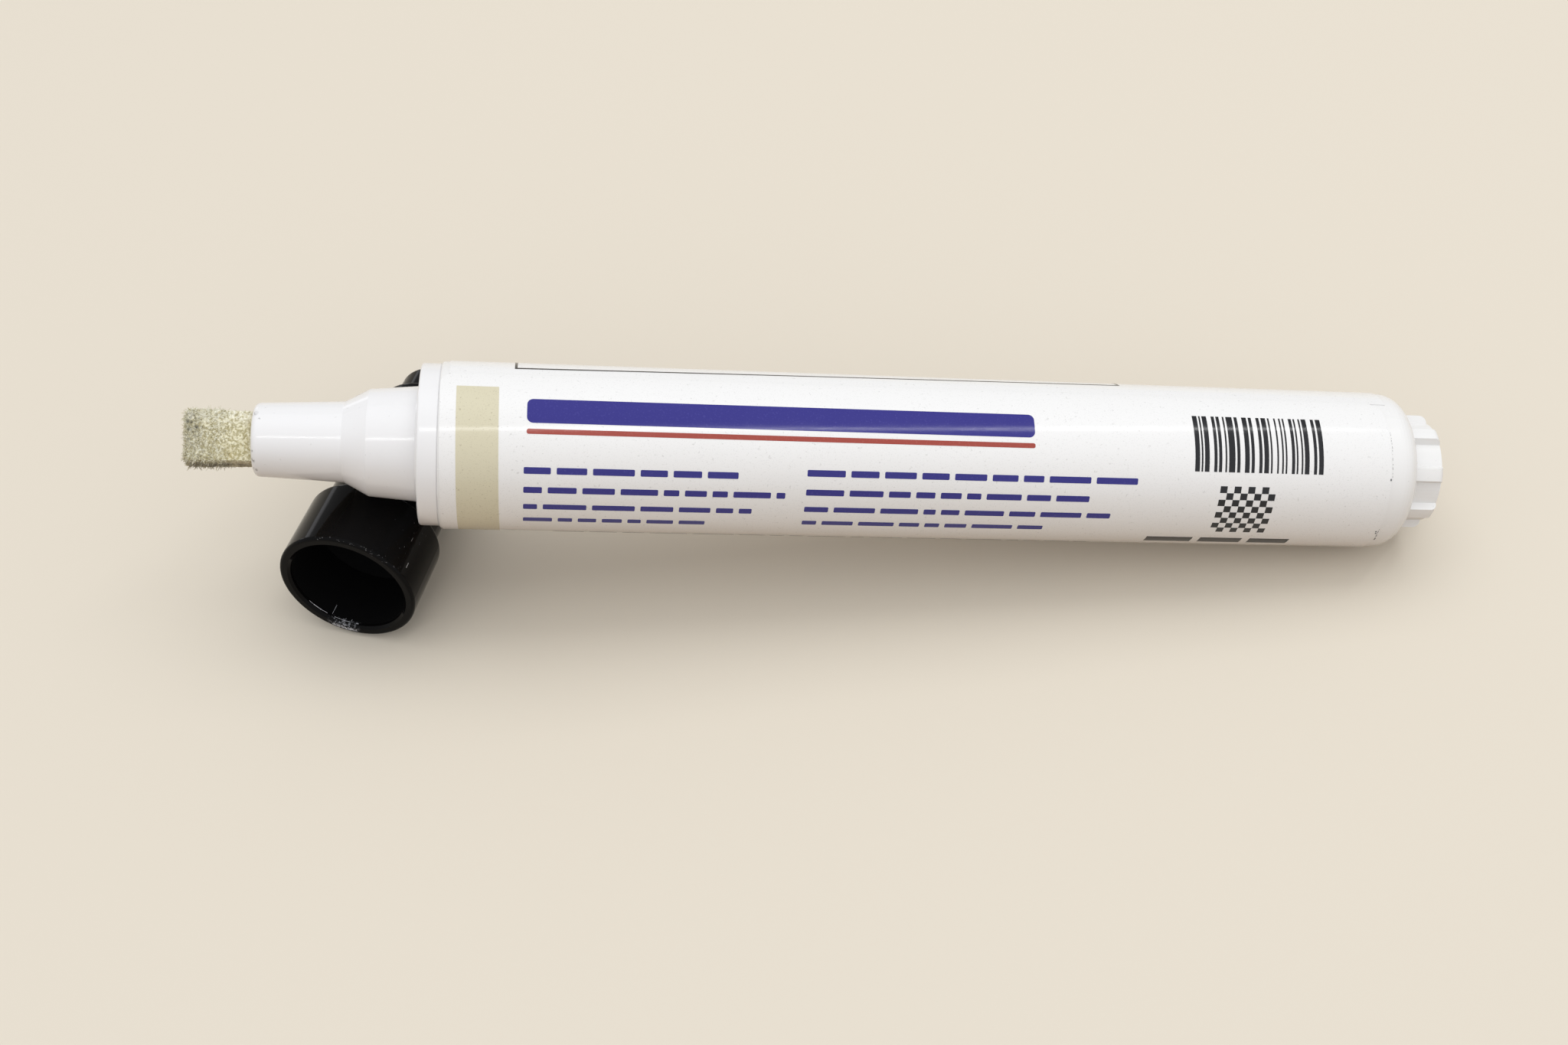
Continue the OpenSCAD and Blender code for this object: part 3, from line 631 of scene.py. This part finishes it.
def fibre_way(end, at_rim, free):
    """A fibre's length in mm, how steeply it rises, how fast it sinks back, and whether it is a stray one.
    Most fibres lie flat; more stand up at the end and the rims, and none does in the slot."""
    length, rise, sink = rng.uniform(0.28, 0.42 + 0.2 * free), 0.16 + 0.18 * free, 0.2 + 0.1 * free
    if rng.random() < (0.14 + 0.4 * max(end, at_rim)) * free:
        length, rise, sink = rng.uniform(0.18, 0.42 + 0.12 * end), rng.uniform(0.6, 1.5 + end), 0.08
    stray = rng.random() < 0.06 * max(end, at_rim) * free
    if stray:
        length, rise, sink = rng.uniform(0.4, 0.7), rng.uniform(1.2, 3.0), 0.05
    return length, rise, sink, stray


block = felt_block()
felt_verts = []
for v in block.vertices:
    u = nib_u(v.co)
    share = 0.0 if u > NOZZLE_U - 0.05 else 0.7 if u > FREE_U else 1.0
    felt_verts.append(cut_aslant(v.co + v.normal * (matted(v.co) * share * MM)))
felt_faces = [tuple(f.vertices) for f in block.polygons]
piece("nib_felt", felt_verts, felt_faces, felt_core, "plunger", 180, "nib")

outer = [f for f in block.polygons if nib_u(f.center) < NOZZLE_U - 0.2]
rng = random.Random(5)
hair_verts, hair_faces = [], []
for _ in range(FIBRES):
    f = rng.choice(outer)
    free = min(1.0, max(0.0, (FREE_U - 0.1 - nib_u(f.center)) / FREE_SPAN))
    if rng.random() > 0.6 + 0.4 * free:
        continue
    n = f.normal
    end = max(0.0, -n.dot(AXIS))
    flat = n.cross(Vector((rng.gauss(0, 1), rng.gauss(0, 1), rng.gauss(0, 1)))).normalized()
    side = flat.cross(n).normalized()
    at_rim = 1.0 if abs((f.center - COLLAR).dot(NIB_ACROSS)) > RIM_W * MM else 0.0
    length, rise, sink, stray = fibre_way(end, at_rim, free)
    bend = rng.uniform(-0.55, 0.55)
    thick = rng.uniform(0.7, 1.0 + 0.35 * free) * (1.3 if stray else 1.0)
    p = cut_aslant(f.center + n * ((matted(f.center) - 0.02) * MM))
    heading = (flat + n * rise).normalized()
    first = len(hair_verts)
    for radius in FIBRE_RADII:
        r = radius * thick * MM
        if nib_u(p) > FREE_U - 0.2:
            p = within_slot(p, SLOT_ROOM * MM - r)
        out = heading.cross(side).normalized()
        for c in range(3):
            w = 2 * math.pi * c / 3
            hair_verts.append(p + (side * math.cos(w) + out * math.sin(w)) * r)
        p = p + heading * (length / FIBRE_PARTS * MM)
        heading = (heading + side * bend - n * sink).normalized()
    for k in range(FIBRE_PARTS):
        for c in range(3):
            a, b = first + 3 * k + c, first + 3 * k + (c + 1) % 3
            hair_faces.append((a, b, b + 3, a + 3))
    hair_faces += [(first, first + 2, first + 1), (first + 9, first + 10, first + 11)]
piece("nib_fibres", hair_verts, hair_faces, felt_hair, "plunger", 180)

# Floor, light and camera
FLOOR_HALF = 30
FLOOR_SEEN, FLOOR_BOUNCE = rgb(0.74, 0.68, 0.58), rgb(0.30, 0.19, 0.085)
ROOM_FRONT, ROOM_BACK = rgb(0.85, 0.85, 0.855), rgb(0.58, 0.58, 0.58)
CARD_WAY, CARD_LIGHT = (-0.59, 0.806, 0.0), rgb(1.9, 1.9, 1.95)
BACKDROP = rgb(0.52, 0.475, 0.405)


def stage_floor():
    """A pale floor that throws warm light back on the part."""
    mat, tree = start_material("floor")
    path = add(tree, "ShaderNodeLightPath")
    seen = larger(tree, path.outputs["Is Camera Ray"], path.outputs["Is Glossy Ray"])
    colour = blend(tree, seen, FLOOR_BOUNCE, FLOOR_SEEN)
    close_material(tree, colour, 0.8, **{"Specular IOR Level": 0.2})
    h = FLOOR_HALF
    mesh = bpy.data.meshes.new("floor")
    mesh.from_pydata([(-h, -h, 0), (h, -h, 0), (h, h, 0), (-h, h, 0)], [], [(0, 1, 2, 3)])
    mesh.materials.append(mat)
    obj = bpy.data.objects.new("floor", mesh)
    bpy.context.scene.collection.objects.link(obj)


def lamp(name, place, aim, width, length, watts, turn=0.0, mirrored=True):
    light = bpy.data.lights.new(name, "AREA")
    light.shape = "RECTANGLE"
    light.size, light.size_y, light.energy = width, length, watts
    obj = bpy.data.objects.new(name, light)
    look = (Vector(aim) - Vector(place)).to_track_quat("-Z", "Y")
    obj.matrix_world = Matrix.Translation(place) @ look.to_matrix().to_4x4() @ Matrix.Rotation(turn, 4, "Z")
    obj.visible_camera = False
    obj.visible_glossy = mirrored
    bpy.context.scene.collection.objects.link(obj)


def studio_world():
    """A bright room, darker behind the part but not overhead, with a white card low at the back left."""
    world = bpy.data.worlds.new("world")
    bpy.context.scene.world = world
    world.use_nodes = True
    tree = world.node_tree
    where = add(tree, "ShaderNodeTexCoord").outputs["Generated"]
    parts = add(tree, "ShaderNodeSeparateXYZ", {0: where})
    behind = spread(tree, parts.outputs["Y"], 0.05, 0.45)
    below = spread(tree, parts.outputs["Z"], 0.78, 0.93, 1.0, 0.0)
    colour = blend(tree, times(tree, behind, below), ROOM_FRONT, ROOM_BACK)
    facing = add(tree, "ShaderNodeVectorMath", {0: where, 1: CARD_WAY}, operation="DOT_PRODUCT")
    card = times(tree, spread(tree, facing.outputs["Value"], 0.93, 0.96),
                 spread(tree, parts.outputs["Z"], 0.105, 0.135, 1.0, 0.0))
    colour = blend(tree, card, colour, CARD_LIGHT)
    path = add(tree, "ShaderNodeLightPath")
    colour = blend(tree, path.outputs["Is Camera Ray"], colour, BACKDROP)
    tree.links.new(colour, tree.nodes["Background"].inputs["Color"])


stage_floor()
studio_world()
lamp("overhead", (0.0, 0.28, 0.8), (0.0, 0.02, 0.0), width=1.0, length=0.5, watts=2.2, mirrored=False)
lamp("tube", (0.043, -0.112, 0.45), (0.043, -0.112, 0.0), width=0.78, length=0.014, watts=0.33,
     turn=math.radians(45))

cam_data = bpy.data.cameras.new("camera")
cam_data.sensor_fit = "HORIZONTAL"
cam_data.sensor_width = 36
cam_data.lens = 43.9416
cam_data.clip_start, cam_data.clip_end = 0.005, 20
cam = bpy.data.objects.new("camera", cam_data)
right = Vector((0.998053, -0.062325, 0.002235))
down = Vector((-0.046794, -0.772077, -0.633804))
ahead = Vector((0.041227, 0.632466, -0.77349))
look = Matrix((right, -down, -ahead)).transposed()
cam.matrix_world = Matrix.Translation((-0.013021, -0.131121, 0.158785)) @ look.to_4x4()
bpy.context.scene.collection.objects.link(cam)
bpy.context.scene.camera = cam
bpy.context.scene.view_settings.view_transform = "Standard"
